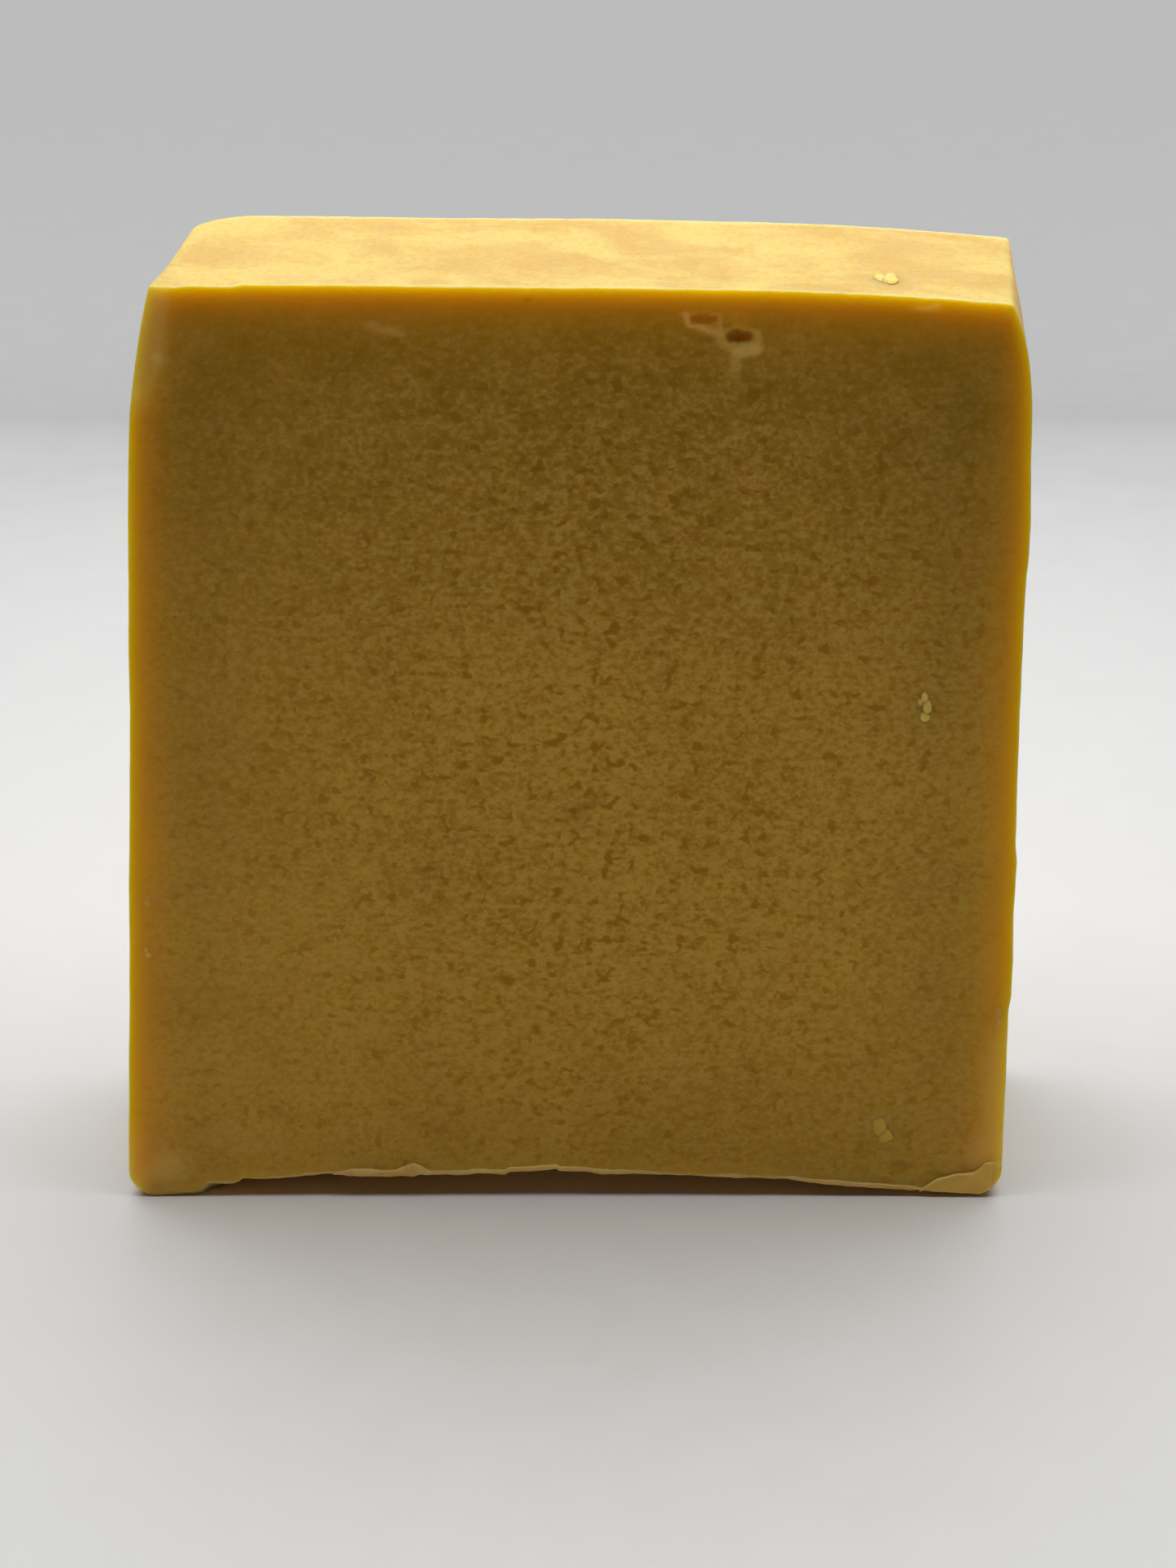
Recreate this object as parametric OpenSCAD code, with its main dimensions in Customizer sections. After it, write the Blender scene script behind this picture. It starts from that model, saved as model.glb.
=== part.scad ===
// Hand-cut bar of waxy, pourable material, standing on one narrow edge.
//
// The bar is a slice of a loaf cast in a tapered mould. It stands upside down: the
// narrow top is what lay on the mould's floor, and the hollowed underside is the open
// side that sank as it set. The front (-Y) and back (+Y) are flat knife cuts.
// The crumbs and shavings that the knife left are pieces of their own.
//
// X runs to the right, Y to the back and Z up. The origin is at the middle of the
// floor area that the whole object covers.

/* [Block] */
// Height of the block at its left end, where it is tallest
height = 78.6; // [70:0.1:90]
// Width of the front face where it meets the ground, before the corners are rounded
base_w = 73.9; // [66:0.1:80]
// Thickness between the two knife cuts
thickness = 24; // [16:0.5:32]
// Inward taper of each side wall, in degrees
draft = 1.68; // [0.5:0.01:2.5]
// Clockwise lean of the loaf's section, in degrees
lean = 1.17; // [0:0.01:1.5]

/* [Sides] */
// Height at which the side walls start to curve in towards the top
shoulder_z = 67; // [55:0.5:69]
// Radius of that curve
shoulder_r = 40; // [30:1:60]
// How far off square the knife met the left side, in degrees
left_skew = 3.1; // [0:0.1:6]
// How far off square the knife met the right side, in degrees
right_skew = 5.2; // [0:0.1:7]

/* [Top] */
// Slope of the top towards the right, in degrees
top_slope = 0.43; // [0:0.01:1]
// Distance from the middle at which the top starts to roll down to the right
roll_x = 12.5; // [0:0.1:20]
// Radius of that roll
roll_r = 240; // [90:5:300]

/* [Underside] */
// Height of the hollow at its highest point
arch_rise = 2.5; // [0.5:0.1:4]
// Where that point lies, from the middle
arch_x = -3.1; // [-8:0.1:4]
// Distance from there to the right foot
arch_reach = 35; // [30:0.5:36]
// Inner edge of the left foot, from the middle
left_foot_x = -30.1; // [-33:0.1:-26]
// Radius of the lower left corner
left_corner_r = 3; // [1:0.1:4]
// Radius of the lower right corner
right_corner_r = 2.8; // [1:0.1:3.5]

/* [Wear] */
// Width of the shaved strip on the front left edge, at the top
bevel_w = 1.6; // [0.5:0.1:3]
// Depth of that strip
bevel_d = 0.5; // [0.3:0.05:1.5]
// Length of that strip down the edge
bevel_l = 8.5; // [4:0.5:14]
// Size of the worn corner at the top left of the back
worn_corner = 1.6; // [0.5:0.1:3]

/* [Crumbs] */
// How far the crumbs stand out from the face
proud = 0.5; // [0.2:0.05:0.8]

/* [Hidden] */

$fn = 96;
FINE = 720;           // for the big, shallow arcs
BLOCK_COLOUR = [0.72, 0.52, 0.16];
SHAVING_COLOUR = [0.86, 0.72, 0.34];

far = 60;             // reach of a cutting shape past the block
loaf_l = 120;         // length of loaf that the slice is cut from

// The block and the crumbs on its front are centred front to back as one.
front_y = -(thickness - proud) / 2;
back_y = front_y + thickness;
mean_skew = (left_skew + right_skew) / 2;

// Lean makes the left wall slope more than the right one.
left_draft = draft + lean;
right_draft = draft - lean;

// Where the walls would meet the ground on the front face. The loaf runs off to the
// right towards the back, so the front face starts left of the middle.
skew_shift = thickness * tan(right_skew);
left_base = -(base_w + skew_shift) / 2;
right_base = left_base + base_w;

// How far a wall stands in from its foot at a height, shoulder included
function wall_in(z, wall_draft) =
    let (start = shoulder_z - shoulder_r * sin(wall_draft))
    z < shoulder_z ? z * tan(wall_draft)
    : shoulder_z * tan(wall_draft) + shoulder_r * cos(wall_draft)
      - sqrt(shoulder_r * shoulder_r - (z - start) * (z - start));

// Left and right ends of the front face at a height
function left_x(z) = left_base + wall_in(z, left_draft);
function right_x(z) = right_base - wall_in(z, right_draft);

// Height of the top's sloping plane
function top_z(x) = height - (x - left_x(height)) * tan(top_slope);

// Height of the hollow over the ground, as a circle through its top and the right foot
arch_r = (arch_reach * arch_reach + arch_rise * arch_rise) / (2 * arch_rise);
function arch_z(x) = arch_rise - arch_r + sqrt(arch_r * arch_r - (x - arch_x) * (x - arch_x));

// Air bubbles that the knife opened near the top: [x, z, radius, depth of centre]
bubbles = [
    [9.3, 76.0, 0.90, 0.40], [10.2, 76.0, 0.80, 0.40],
    [12.2, 74.7, 0.75, 0.10], [12.8, 74.6, 0.60, 0.15],
];

// Everything on the inner side of one wall, shoulder included, as seen on the face.
// The wall stands at x = 0 on the ground and everything to its left is kept.
module inside_wall(wall_draft, corner_r) {
    shoulder = [-shoulder_z * tan(wall_draft), shoulder_z];
    out = [cos(wall_draft), sin(wall_draft)];
    centre = [-corner_r * (1 + out[1]) / out[0], corner_r];
    difference() {
        union() {
            polygon([[-2 * far, 0], [0, 0], shoulder, [-2 * far, shoulder_z]]);
            translate(shoulder - shoulder_r * out) circle(shoulder_r, $fn = FINE);
        }
        difference() {
            polygon([centre, [centre[0], -1], [1, -1], centre + 2 * corner_r * out]);
            translate(centre) circle(corner_r);
        }
    }
}

// Everything below the top: a sloping plane, then a roll down to the right
module below_top() {
    roll = [roll_x, top_z(roll_x)];
    polygon([[-far, -1], [roll_x, -1], roll, [-far, top_z(-far)]]);
    translate(roll - roll_r * [sin(top_slope), cos(top_slope)]) circle(roll_r, $fn = FINE);
}

// The hollow under the block, between the two feet
module hollow() {
    intersection() {
        translate([arch_x, arch_rise - arch_r]) circle(arch_r, $fn = FINE);
        translate([left_foot_x, -1]) square([far + arch_reach, arch_rise + 2]);
    }
}

// Turns along the loaf whatever is placed from the middle of the front face
module along(skew) {
    translate([0, front_y, 0]) rotate([0, 0, -skew]) children();
}

// A length of loaf with the given section
module loaf(skew) {
    along(skew) translate([0, loaf_l / 2, 0]) rotate([90, 0, 0]) linear_extrude(loaf_l) children();
}

// A ball with its poles to the front and back
module ball(r) {
    rotate([90, 0, 0]) sphere(r);
}

// A big block on the outer side of the plane through three points, which run
// anticlockwise as seen from outside
module beyond(a, b, c) {
    out = cross(b - a, c - a);
    translate(a) rotate([0, acos(out[2] / norm(out)), atan2(out[1], out[0])])
        translate([-far, -far, 0]) cube(2 * far);
}

// The shaved strip on the front left edge, running out at its lower end
module bevel_cut() {
    x = left_x(height);
    low = height - bevel_l;
    beyond([x + bevel_w, front_y, height], [x, front_y + bevel_d, height],
           [left_x(low), front_y, low]);
}

// The worn corner at the top left of the back
module corner_cut() {
    corner = [left_x(height) + thickness * tan(left_skew), back_y, height];
    beyond(corner + [worn_corner, 0, 0], corner - [0, 0, 0.8 * worn_corner],
           corner - [0, 2.5 * worn_corner, 0]);
}

module bar() {
    color(BLOCK_COLOUR) difference() {
        intersection() {
            translate([-far, front_y, 0]) cube([2 * far, thickness, 2 * far]);
            loaf(left_skew) translate([left_base, 0]) mirror([1, 0])
                inside_wall(left_draft, left_corner_r);
            loaf(right_skew) translate([right_base, 0]) inside_wall(right_draft, right_corner_r);
            loaf(mean_skew) below_top();
        }
        loaf(mean_skew) hollow();
        bevel_cut();
        corner_cut();
        for (b = bubbles) translate([b[0], front_y + b[3], b[1]]) ball(b[2]);
    }
}

// A crumb stuck to the front face at x and z. Each lump is [x, z, radius] from there,
// a ball sunk so that it stands out by the given share of the crumbs' height.
module face_crumb(x, z, lumps, share = 1) {
    out = proud * share;
    color(SHAVING_COLOUR) intersection() {
        translate([x - far / 2, front_y - far, 0]) cube(far);
        union() for (l = lumps)
            translate([x + l[0], front_y + l[2] - out, z + l[1]]) ball(l[2]);
    }
}

// A crumb lying on the part of the top that rolls down to the right
module top_crumb() {
    x = 24;
    behind_front = 4.9;
    turn = asin((x - roll_x) / roll_r + sin(top_slope));
    z = top_z(roll_x) + roll_r * (cos(turn) - cos(top_slope));
    color(SHAVING_COLOUR) along(mean_skew) translate([x, behind_front, z]) rotate([0, turn, 0])
        intersection() {
            translate([-far / 2, -far / 2, 0]) cube(far);
            union() {
                translate([0, 0, -0.1]) ball(0.6);
                translate([-0.6, 0.2, -0.1]) ball(0.5);
            }
        }
}

module face_flake() {
    face_crumb(27.8, 44.2, [[0, 0.5, 0.62], [0.1, -0.35, 0.58], [-0.15, 0.05, 0.6]]);
}

module lower_face_dab() {
    face_crumb(25.5, 6.1, [[0, 0.3, 0.7], [0.25, -0.35, 0.6]], 0.7);
}

module right_edge_crumb() {
    face_crumb(right_x(17) - 1, 17, [[0, 0.2, 0.65], [0.1, -0.5, 0.5]], 0.8);
}

module left_edge_crumbs() {
    face_crumb(left_x(27) + 1.4, 27.1, [[0, 0, 0.55], [0.1, 0.4, 0.45]], 0.7);
    face_crumb(left_x(22.6) + 1.5, 22.7, [[0, 0, 0.5], [-0.15, 0.35, 0.4]], 0.7);
}

// A row of overlapping lumps just above the lip of the hollow, thickest in its middle
module lip_shaving() {
    first_x = -19.8;
    step = 0.62;
    count = 12;
    thickest = 0.62;
    for (i = [0:count - 1]) {
        x = first_x + i * step;
        r = thickest * (0.62 + 0.38 * sin(180 * i / (count - 1)));
        face_crumb(x, arch_z(x) + r + 0.05, [[0, 0, r]], 0.8);
    }
}

// A thin flap lying on the corner, bounded above by the arc where it turned over
module corner_curl() {
    flap_t = 0.8 * proud;
    flap_h = 2.3;
    start_x = 29.2;
    arc_r = 6.6;
    color(SHAVING_COLOUR) intersection() {
        translate([start_x, front_y - flap_t, 0]) cube([far, flap_t, flap_h]);
        translate([start_x + arc_r, front_y, -4]) rotate([90, 0, 0]) cylinder(h = 1, r = arc_r);
        loaf(right_skew) translate([right_base, 0]) inside_wall(right_draft, right_corner_r);
    }
}

bar();
top_crumb();
face_flake();
lower_face_dab();
right_edge_crumb();
left_edge_crumbs();
lip_shaving();
corner_curl();
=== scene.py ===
"""Looks of the hand-cut bar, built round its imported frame.

The block is one closed mesh: a lattice laid on the block's planes and walls, rounded at its
edges, then pitted, torn and waved as a knife and a mould leave wax. The crumbs and shavings
are small meshes of their own. Lengths are in millimetres until a mesh is made.
"""

import math

import bpy
import numpy as np
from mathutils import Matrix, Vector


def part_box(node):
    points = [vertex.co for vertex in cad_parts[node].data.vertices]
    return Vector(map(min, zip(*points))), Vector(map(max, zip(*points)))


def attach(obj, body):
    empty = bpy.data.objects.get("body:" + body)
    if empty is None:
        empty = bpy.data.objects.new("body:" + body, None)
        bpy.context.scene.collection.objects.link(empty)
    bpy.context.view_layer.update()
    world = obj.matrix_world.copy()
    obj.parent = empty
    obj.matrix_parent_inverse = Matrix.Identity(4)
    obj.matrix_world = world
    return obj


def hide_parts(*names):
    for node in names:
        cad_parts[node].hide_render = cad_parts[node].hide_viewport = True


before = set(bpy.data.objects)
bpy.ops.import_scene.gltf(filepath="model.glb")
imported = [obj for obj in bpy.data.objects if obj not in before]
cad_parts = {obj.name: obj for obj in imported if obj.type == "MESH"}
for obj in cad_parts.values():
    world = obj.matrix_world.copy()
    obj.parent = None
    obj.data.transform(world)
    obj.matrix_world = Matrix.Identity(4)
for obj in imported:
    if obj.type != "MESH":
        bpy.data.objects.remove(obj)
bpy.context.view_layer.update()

MM = 0.001

# ---------------- the block's dimensions

bar_low, bar_high = (np.array(corner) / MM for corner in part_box("bar"))
FRONT_Y, BACK_Y, HEIGHT = bar_low[1], bar_high[1], bar_high[2]
THICKNESS = BACK_Y - FRONT_Y

BASE_W = 73.9
DRAFT, LEAN = math.radians(1.68), math.radians(1.17)
LEFT_DRAFT, RIGHT_DRAFT = DRAFT + LEAN, DRAFT - LEAN
LEFT_SKEW, RIGHT_SKEW = math.radians(3.1), math.radians(5.2)
MEAN_SKEW = (LEFT_SKEW + RIGHT_SKEW) / 2
LEFT_BASE = -(BASE_W + THICKNESS * math.tan(RIGHT_SKEW)) / 2
RIGHT_BASE = LEFT_BASE + BASE_W
SHOULDER_Z, SHOULDER_R = 67.0, 40.0
CROWN_Z, CROWN_IN = 72.5, 0.9  # the right wall turns in more from this height up
SHOULDER_LESS = 0.17  # the right shoulder is this much less at the back
SKEW_LESS = math.radians(1.8)  # the right wall is this much less skewed than the loaf
TOP_SLOPE = math.radians(0.43)
ROLL_X, ROLL_R = 12.5, 240.0
BACK_ROLL = 0.4  # the top falls away this much more at the back right
BACK_ROLL_X, BACK_ROLL_W = -2.0, 34.0  # from here on, and in full after this width
ARCH_X, ARCH_RISE, ARCH_REACH = -3.1, 2.5, 35.0
ARCH_R = (ARCH_REACH**2 + ARCH_RISE**2) / (2 * ARCH_RISE)
LEFT_FOOT_X, FOOT_STEP_W = -31.4, 3.0
LIP_REACH, FOOT_REACH = 2.2, 0.6  # how far in the lower front edge differs from the arch
LIP_LEFT, LIP_LEFT_W = -32.2, 1.5  # between these two, easing in and out over the
LIP_RIGHT, LIP_RIGHT_W = 33.0, 4.0  # widths, that reach is the lip's and not the feet's
RISE_REACH = 5.0  # how far in the upper front edge differs from the top
RAGGED_REACH = 0.9  # that edge's finer notches reach in this far
RAGGED_H, RAGGED_CELL = 0.07, 2.2  # and are this high and wide
CORNER_R = {"low_left": 2.7, "low_right": 2.6, "top_left": 0.2, "top_right": 0.25}
EDGE_R, LEAST_EDGE_R, MOST_EDGE_R = 0.18, 0.08, 1.0  # rounding of the cut edges
BEVEL_W, BEVEL_D, BEVEL_Z = 1.7, 0.5, 72.6  # the shaved strip runs out below BEVEL_Z,
BEVEL_END, BEVEL_FADE = 1.8, 9.0  # its plane moving out this much over this height
WORN_R, WORN_Z = 4.8, 66.0  # the upright edge at the back left is worn above WORN_Z

# Height of the lower front edge along the bar: x, z
LIP = [(-40, 0.0), (-36, 0.03), (-34.8, 0.22), (-32.9, 0.42), (-31.7, 0.62), (-31.3, 1.25),
       (-29.4, 1.3), (-28.6, 1.45), (-28.3, 1.8), (-27.1, 1.75), (-25.4, 1.8), (-23.2, 2.05),
       (-20.4, 2.27), (-19.3, 2.02), (-13.8, 1.98), (-13.2, 2.14), (-9.3, 2.14), (-8.7, 2.29),
       (-6.1, 2.16), (-5.8, 2.4), (-3.1, 2.55), (-1.8, 2.7), (-1.55, 2.5), (0.7, 2.44),
       (2.1, 2.2), (5.4, 2.22), (9.7, 2.05), (15, 1.85), (17.8, 1.7), (19.7, 1.38),
       (23.3, 1.03), (25.5, 0.84), (28.3, 0.66), (30, 0.45), (33, 0.25), (35.4, 0.1), (40, 0)]

# How much the upper front edge stands above the plane of the top: x, height
RISE = [(-34, -0.09), (-30.3, -0.09), (-30.0, 0.04), (-26.1, 0.03), (-25.6, 0.2), (-17.3, 0.22),
        (-12, 0.14), (-4.2, 0.1), (-3.6, 0.02), (-3, 0.1), (5, 0.12), (16, 0.04), (20.5, 0.02),
        (20.9, -0.06), (21.6, 0.02), (26.2, 0), (26.6, -0.08), (27.3, 0), (30.6, -0.04), (40, 0)]

# How much the front edges of the two sides stand further out: z, distance
LEFT_OUT = [(0, 0), (44, 0), (50, 0.12), (60, 0.17), (66, 0.08), (73, 0.06), (76, 0.2),
            (78.6, 0.36)]
RIGHT_OUT = [(12, 0), (17.4, -0.05), (18.6, 0.14), (22, 0.17), (26.4, 0.06), (30.8, 0.19),
             (32.2, 0.02), (43, -0.07), (51.8, -0.06), (55.4, 0.04), (56.6, 0.17), (60, 0.19),
             (64, 0.02)]
SIDE_REACH = 6.0
# Inner border of the strip that was shaved off the front left edge: z, x
SHAVED = [(66.5, -35.2), (68.9, -33.5), (70.5, -32.5), (73.4, -31.6), (77.8, -31.1), (79, -31.0)]


# ---------------- noise

NOISE_TABLE = 256
CELL_SHIFT = 137.0  # which part of the noise the bar lies in
NOISE_GAIN = 1.6  # brings it to about -1..1


def lattice_noise(p, cell, seed):
    """Gradient noise in about -1..1 at points p, with one cell of its lattice cell wide."""
    rng = np.random.default_rng(seed)
    turn = rng.permutation(NOISE_TABLE)
    grads = rng.normal(size=(NOISE_TABLE, 3))
    grads /= np.linalg.norm(grads, axis=1)[:, None]
    q = p / np.asarray(cell, float) + CELL_SHIFT
    base = np.floor(q).astype(int)
    off = q - base
    fade = off**3 * (off * (off * 6 - 15) + 10)
    total = np.zeros(len(p))
    for corner in np.ndindex(2, 2, 2):
        c = np.array(corner)
        i, j, k = (base + c).T
        row = turn[(i + turn[(j + turn[k % NOISE_TABLE]) % NOISE_TABLE]) % NOISE_TABLE]
        weight = np.prod(np.where(c == 1, fade, 1 - fade), axis=1)
        total += weight * np.einsum("ij,ij->i", grads[row], off - c)
    return total * NOISE_GAIN


def layered_noise(p, cell, seed, layers=3):
    """Noise with finer layers of half the size and strength on top."""
    cell = np.asarray(cell, float)
    total = sum(0.5**k * lattice_noise(p, cell * 0.5**k, seed + k) for k in range(layers))
    return total / sum(0.5**k for k in range(layers))


def noise_along(x, cell, seed, layers=3):
    """Layered noise along a line."""
    return layered_noise(np.stack([x, 0 * x, 0 * x], axis=1), cell, seed, layers)


def smooth_step(t):
    """0 up to t = 0, 1 from t = 1, and eased between them."""
    t = np.clip(t, 0, 1)
    return t * t * (3 - 2 * t)


def bell(distance, width):
    """1 at no distance, falling away on both sides over about this width."""
    return np.exp(-(distance / width)**2)


# ---------------- the block's surface

# The finer notches of the upper front edge: x, and the height there
RAGGED_X = np.arange(-42, 42, 0.4)
RAGGED = RAGGED_H * noise_along(RAGGED_X, RAGGED_CELL, seed=95, layers=2)


def wall_in(z, draft):
    """How far a side wall stands in from its foot at a height, shoulder included."""
    start = SHOULDER_Z - SHOULDER_R * math.sin(draft)
    rise = np.clip(z - start, 0, 0.9 * SHOULDER_R)
    arc = (SHOULDER_Z * math.tan(draft) + SHOULDER_R * math.cos(draft)
           - np.sqrt(SHOULDER_R**2 - rise**2))
    return np.where(z < SHOULDER_Z, z * math.tan(draft), arc)


def near_front(y, reach):
    """1 at the front face, easing to 0 at this reach behind it."""
    return 1 - smooth_step((y - FRONT_Y) / reach)


def further_out(y, z, places):
    """How much a side stands further out than its wall, which is only so near the front."""
    return np.interp(z, *zip(*places)) * near_front(y, SIDE_REACH)


def left_wall(y, z):
    wall = LEFT_BASE + wall_in(z, LEFT_DRAFT) + (y - FRONT_Y) * math.tan(LEFT_SKEW)
    return wall - further_out(y, z, LEFT_OUT)


def right_wall(y, z):
    crown = CROWN_IN * (np.maximum(z - CROWN_Z, 0) / (HEIGHT - CROWN_Z))**2
    share = (y - FRONT_Y) / THICKNESS
    wall = RIGHT_BASE - wall_in(z, RIGHT_DRAFT) * (1 - SHOULDER_LESS * share) - crown * (1 - share)
    return (wall + (y - FRONT_Y) * math.tan(RIGHT_SKEW - SKEW_LESS)
            + further_out(y, z, RIGHT_OUT))


def along_loaf(x, y):
    """Where a point lies across the loaf, which runs off to the right towards the back."""
    return x - (y - FRONT_Y) * math.tan(MEAN_SKEW)


def top_surface(x, y):
    """Height of the top: a slope, then a roll down to the right, uneven at the front edge."""
    across = along_loaf(x, y)
    corner = LEFT_BASE + wall_in(HEIGHT, LEFT_DRAFT)
    slope = HEIGHT - (across - corner) * math.tan(TOP_SLOPE)
    roll = np.maximum(across - ROLL_X, 0)
    rolled = smooth_step((across - BACK_ROLL_X) / BACK_ROLL_W)
    back = BACK_ROLL * rolled * (y - FRONT_Y) / THICKNESS
    rise = np.interp(x, *zip(*RISE)) * near_front(y, RISE_REACH)
    rise += np.interp(x, RAGGED_X, RAGGED) * near_front(y, RAGGED_REACH)
    return slope - (ROLL_R - np.sqrt(ROLL_R**2 - roll**2)) - back + rise


def lip_height(x):
    return np.interp(x, *zip(*LIP))


def bottom_surface(x, y):
    """The hollow under the block, with the front edge following its own ragged line."""
    across = along_loaf(x, y)
    arch = ARCH_RISE - ARCH_R + np.sqrt(ARCH_R**2 - (across - ARCH_X)**2)
    inner = np.maximum(arch, 0) * smooth_step((across - LEFT_FOOT_X) / FOOT_STEP_W)
    between = (smooth_step((x - LIP_LEFT) / LIP_LEFT_W)
               * smooth_step((LIP_RIGHT - x) / LIP_RIGHT_W))
    reach = FOOT_REACH + (LIP_REACH - FOOT_REACH) * between
    return inner + (lip_height(x) - inner) * near_front(y, reach)


def bevel_plane():
    """A point on the shaved strip of the front left edge, and its outward direction."""
    a = np.array([left_wall(FRONT_Y, HEIGHT) + BEVEL_W, FRONT_Y, HEIGHT])
    b = np.array([left_wall(FRONT_Y, HEIGHT), FRONT_Y + BEVEL_D, HEIGHT])
    c = a - [0.1, 0, HEIGHT - BEVEL_Z]
    out = np.cross(b - a, c - a)
    return a, out / (np.linalg.norm(out) * np.sign(-out[0]))


BEVEL_AT, BEVEL_OUT = bevel_plane()


def edge_radius(p):
    """How much the cut edges are rounded at each point, which is uneven."""
    uneven = (1 + 0.5 * lattice_noise(p, cell=5.0, seed=21)
              + 0.75 * lattice_noise(p, cell=1.7, seed=22))
    return np.clip(EDGE_R * uneven, LEAST_EDGE_R, MOST_EDGE_R)


def rounded_meeting(distances, radius):
    """The distance outside several surfaces together, with their meeting edges rounded."""
    past = [np.maximum(d + radius, 0) for d in distances]
    inside = np.minimum(np.max(distances, axis=0) + radius, 0)
    return inside + np.sqrt(sum(q * q for q in past)) - radius


def joined(a, b, blend=0.2):
    """The greater of two distances, eased into one another where they are nearly equal."""
    near = np.maximum(blend - np.abs(a - b), 0) / blend
    return np.maximum(a, b) + near * near * blend / 4


def outside(p, edge):
    """How far each point lies outside the block, below zero within it."""
    x, y, z = p.T
    left = (left_wall(y, z) - x) * math.cos(LEFT_DRAFT)
    right = (x - right_wall(y, z)) * math.cos(RIGHT_DRAFT)
    low, high = z < HEIGHT / 2, z >= HEIGHT / 2
    radius = np.select(
        [low & (x < 0), low, high & (x < 0)],
        [CORNER_R["low_left"], CORNER_R["low_right"], CORNER_R["top_left"]],
        CORNER_R["top_right"])
    section = rounded_meeting([left, right, z - top_surface(x, y), bottom_surface(x, y) - z],
                              radius)
    bevel = (p - BEVEL_AT) @ BEVEL_OUT - BEVEL_END * smooth_step((BEVEL_Z - z) / BEVEL_FADE)
    block = rounded_meeting([section, FRONT_Y - y, y - BACK_Y, bevel], edge)
    worn_r = edge + WORN_R * smooth_step((z - WORN_Z) / (HEIGHT - WORN_Z))
    return joined(block, rounded_meeting([left, y - BACK_Y], worn_r))


def outward(p, edge, step=0.02):
    """The direction straight out of the block's surface at each point, and its steepness."""
    slope = np.empty_like(p)
    for axis in range(3):
        shift = np.zeros(3)
        shift[axis] = step
        slope[:, axis] = (outside(p + shift, edge) - outside(p - shift, edge)) / (2 * step)
    size = np.linalg.norm(slope, axis=1)
    return slope / size[:, None], size


# ---------------- the block's lattice

STEP, STEP_DEEP = 0.56, 0.95  # widest steps across the cut faces, and between them
NEAR_EDGE = (0.5, 0.13)  # reach of the fine steps beside an edge, and the step
STEP_GROWTH = 0.35  # how fast steps widen away from a fine spot
# Where marks ask for fine steps too, from the left foot and from the ground: place, reach, step
FINE_ACROSS = [(49.0, 3.2, 0.24), (70.0, 2.8, 0.26), (8.3, 2.3, 0.26)]
FINE_UP = [(75.0, 2.0, 0.24), (1.9, 1.4, 0.2)]
# The lattice is evened out round the shaved strip, above STRIP_LOW, and the lower corners
STRIP_LOW, STRIP_EASE, STRIP_W, STRIP_D = 65.0, 3.0, 2.2, 1.2
LOW_CORNER = 1.6
EVEN_SHARE, EVEN_ROUNDS = 0.7, 8


def spaced(length, coarse, fine_spots):
    """Steps from 0 to 1 along a length: coarse ones, but fine near each (place, reach, step)."""
    at, places = 0.0, [0.0]
    while at < length:
        step = coarse
        for place, reach, fine in fine_spots:
            gap = max(abs(at - place) - reach, 0)
            step = min(step, fine + STEP_GROWTH * gap)
        at += step
        places.append(at)
    return np.array(places) / places[-1]


def lattice_box(us, vs, ws):
    """The corners (as steps along x, y and z) and four-sided faces of a closed box."""
    nu, nv, nw = len(us) - 1, len(vs) - 1, len(ws) - 1
    i, j, k = np.meshgrid(range(nu + 1), range(nv + 1), range(nw + 1), indexing="ij")
    shell = (i % nu == 0) | (j % nv == 0) | (k % nw == 0)
    number = np.full(shell.shape, -1)
    number[shell] = np.arange(shell.sum())
    steps = np.stack([us[i[shell]], vs[j[shell]], ws[k[shell]]], axis=1)

    def quads(sheet, flip):
        a, b, c, d = sheet[:-1, :-1], sheet[1:, :-1], sheet[1:, 1:], sheet[:-1, 1:]
        order = (a, d, c, b) if flip else (a, b, c, d)
        return np.stack([s.ravel() for s in order], axis=1)

    faces = np.concatenate([
        quads(number[:, :, 0], True), quads(number[:, :, -1], False),
        quads(number[:, 0, :], False), quads(number[:, -1, :], True),
        quads(number[0], True), quads(number[-1], False)])
    return steps, faces


def onto_block(p, edge, rounds):
    """The points moved straight onto the block's surface."""
    for _ in range(rounds):
        out, steep = outward(p, edge)
        p = p - out * (outside(p, edge) / steep)[:, None]
    return p


def evened(p, faces, share):
    """Each point moved by its share of the way to the middle of its neighbours."""
    start, end = np.concatenate([faces[:, [k, (k + 1) % 4]] for k in range(4)]).T
    total = np.stack([np.bincount(start, p[end, axis], len(p)) for axis in range(3)], axis=1)
    return p + share[:, None] * (total / np.bincount(start, minlength=len(p))[:, None] - p)


def sharp_lattice():
    """The block as a closed lattice with sharp edges: its points and faces."""
    us = spaced(BASE_W, STEP, [(0, *NEAR_EDGE), (BASE_W, *NEAR_EDGE), *FINE_ACROSS])
    vs = spaced(THICKNESS, STEP_DEEP, [(0, *NEAR_EDGE), (THICKNESS, *NEAR_EDGE)])
    ws = spaced(HEIGHT, STEP, [(0, *NEAR_EDGE), (HEIGHT, *NEAR_EDGE), *FINE_UP])
    steps, faces = lattice_box(us, vs, ws)
    u, v, w = steps.T
    y = FRONT_Y + v * THICKNESS
    z = w * HEIGHT
    for _ in range(3):
        x = left_wall(y, z) + u * (right_wall(y, z) - left_wall(y, z))
        low = bottom_surface(x, y)
        z = low + w * (top_surface(x, y) - low)
    return np.stack([x, y, z], axis=1), faces


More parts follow.
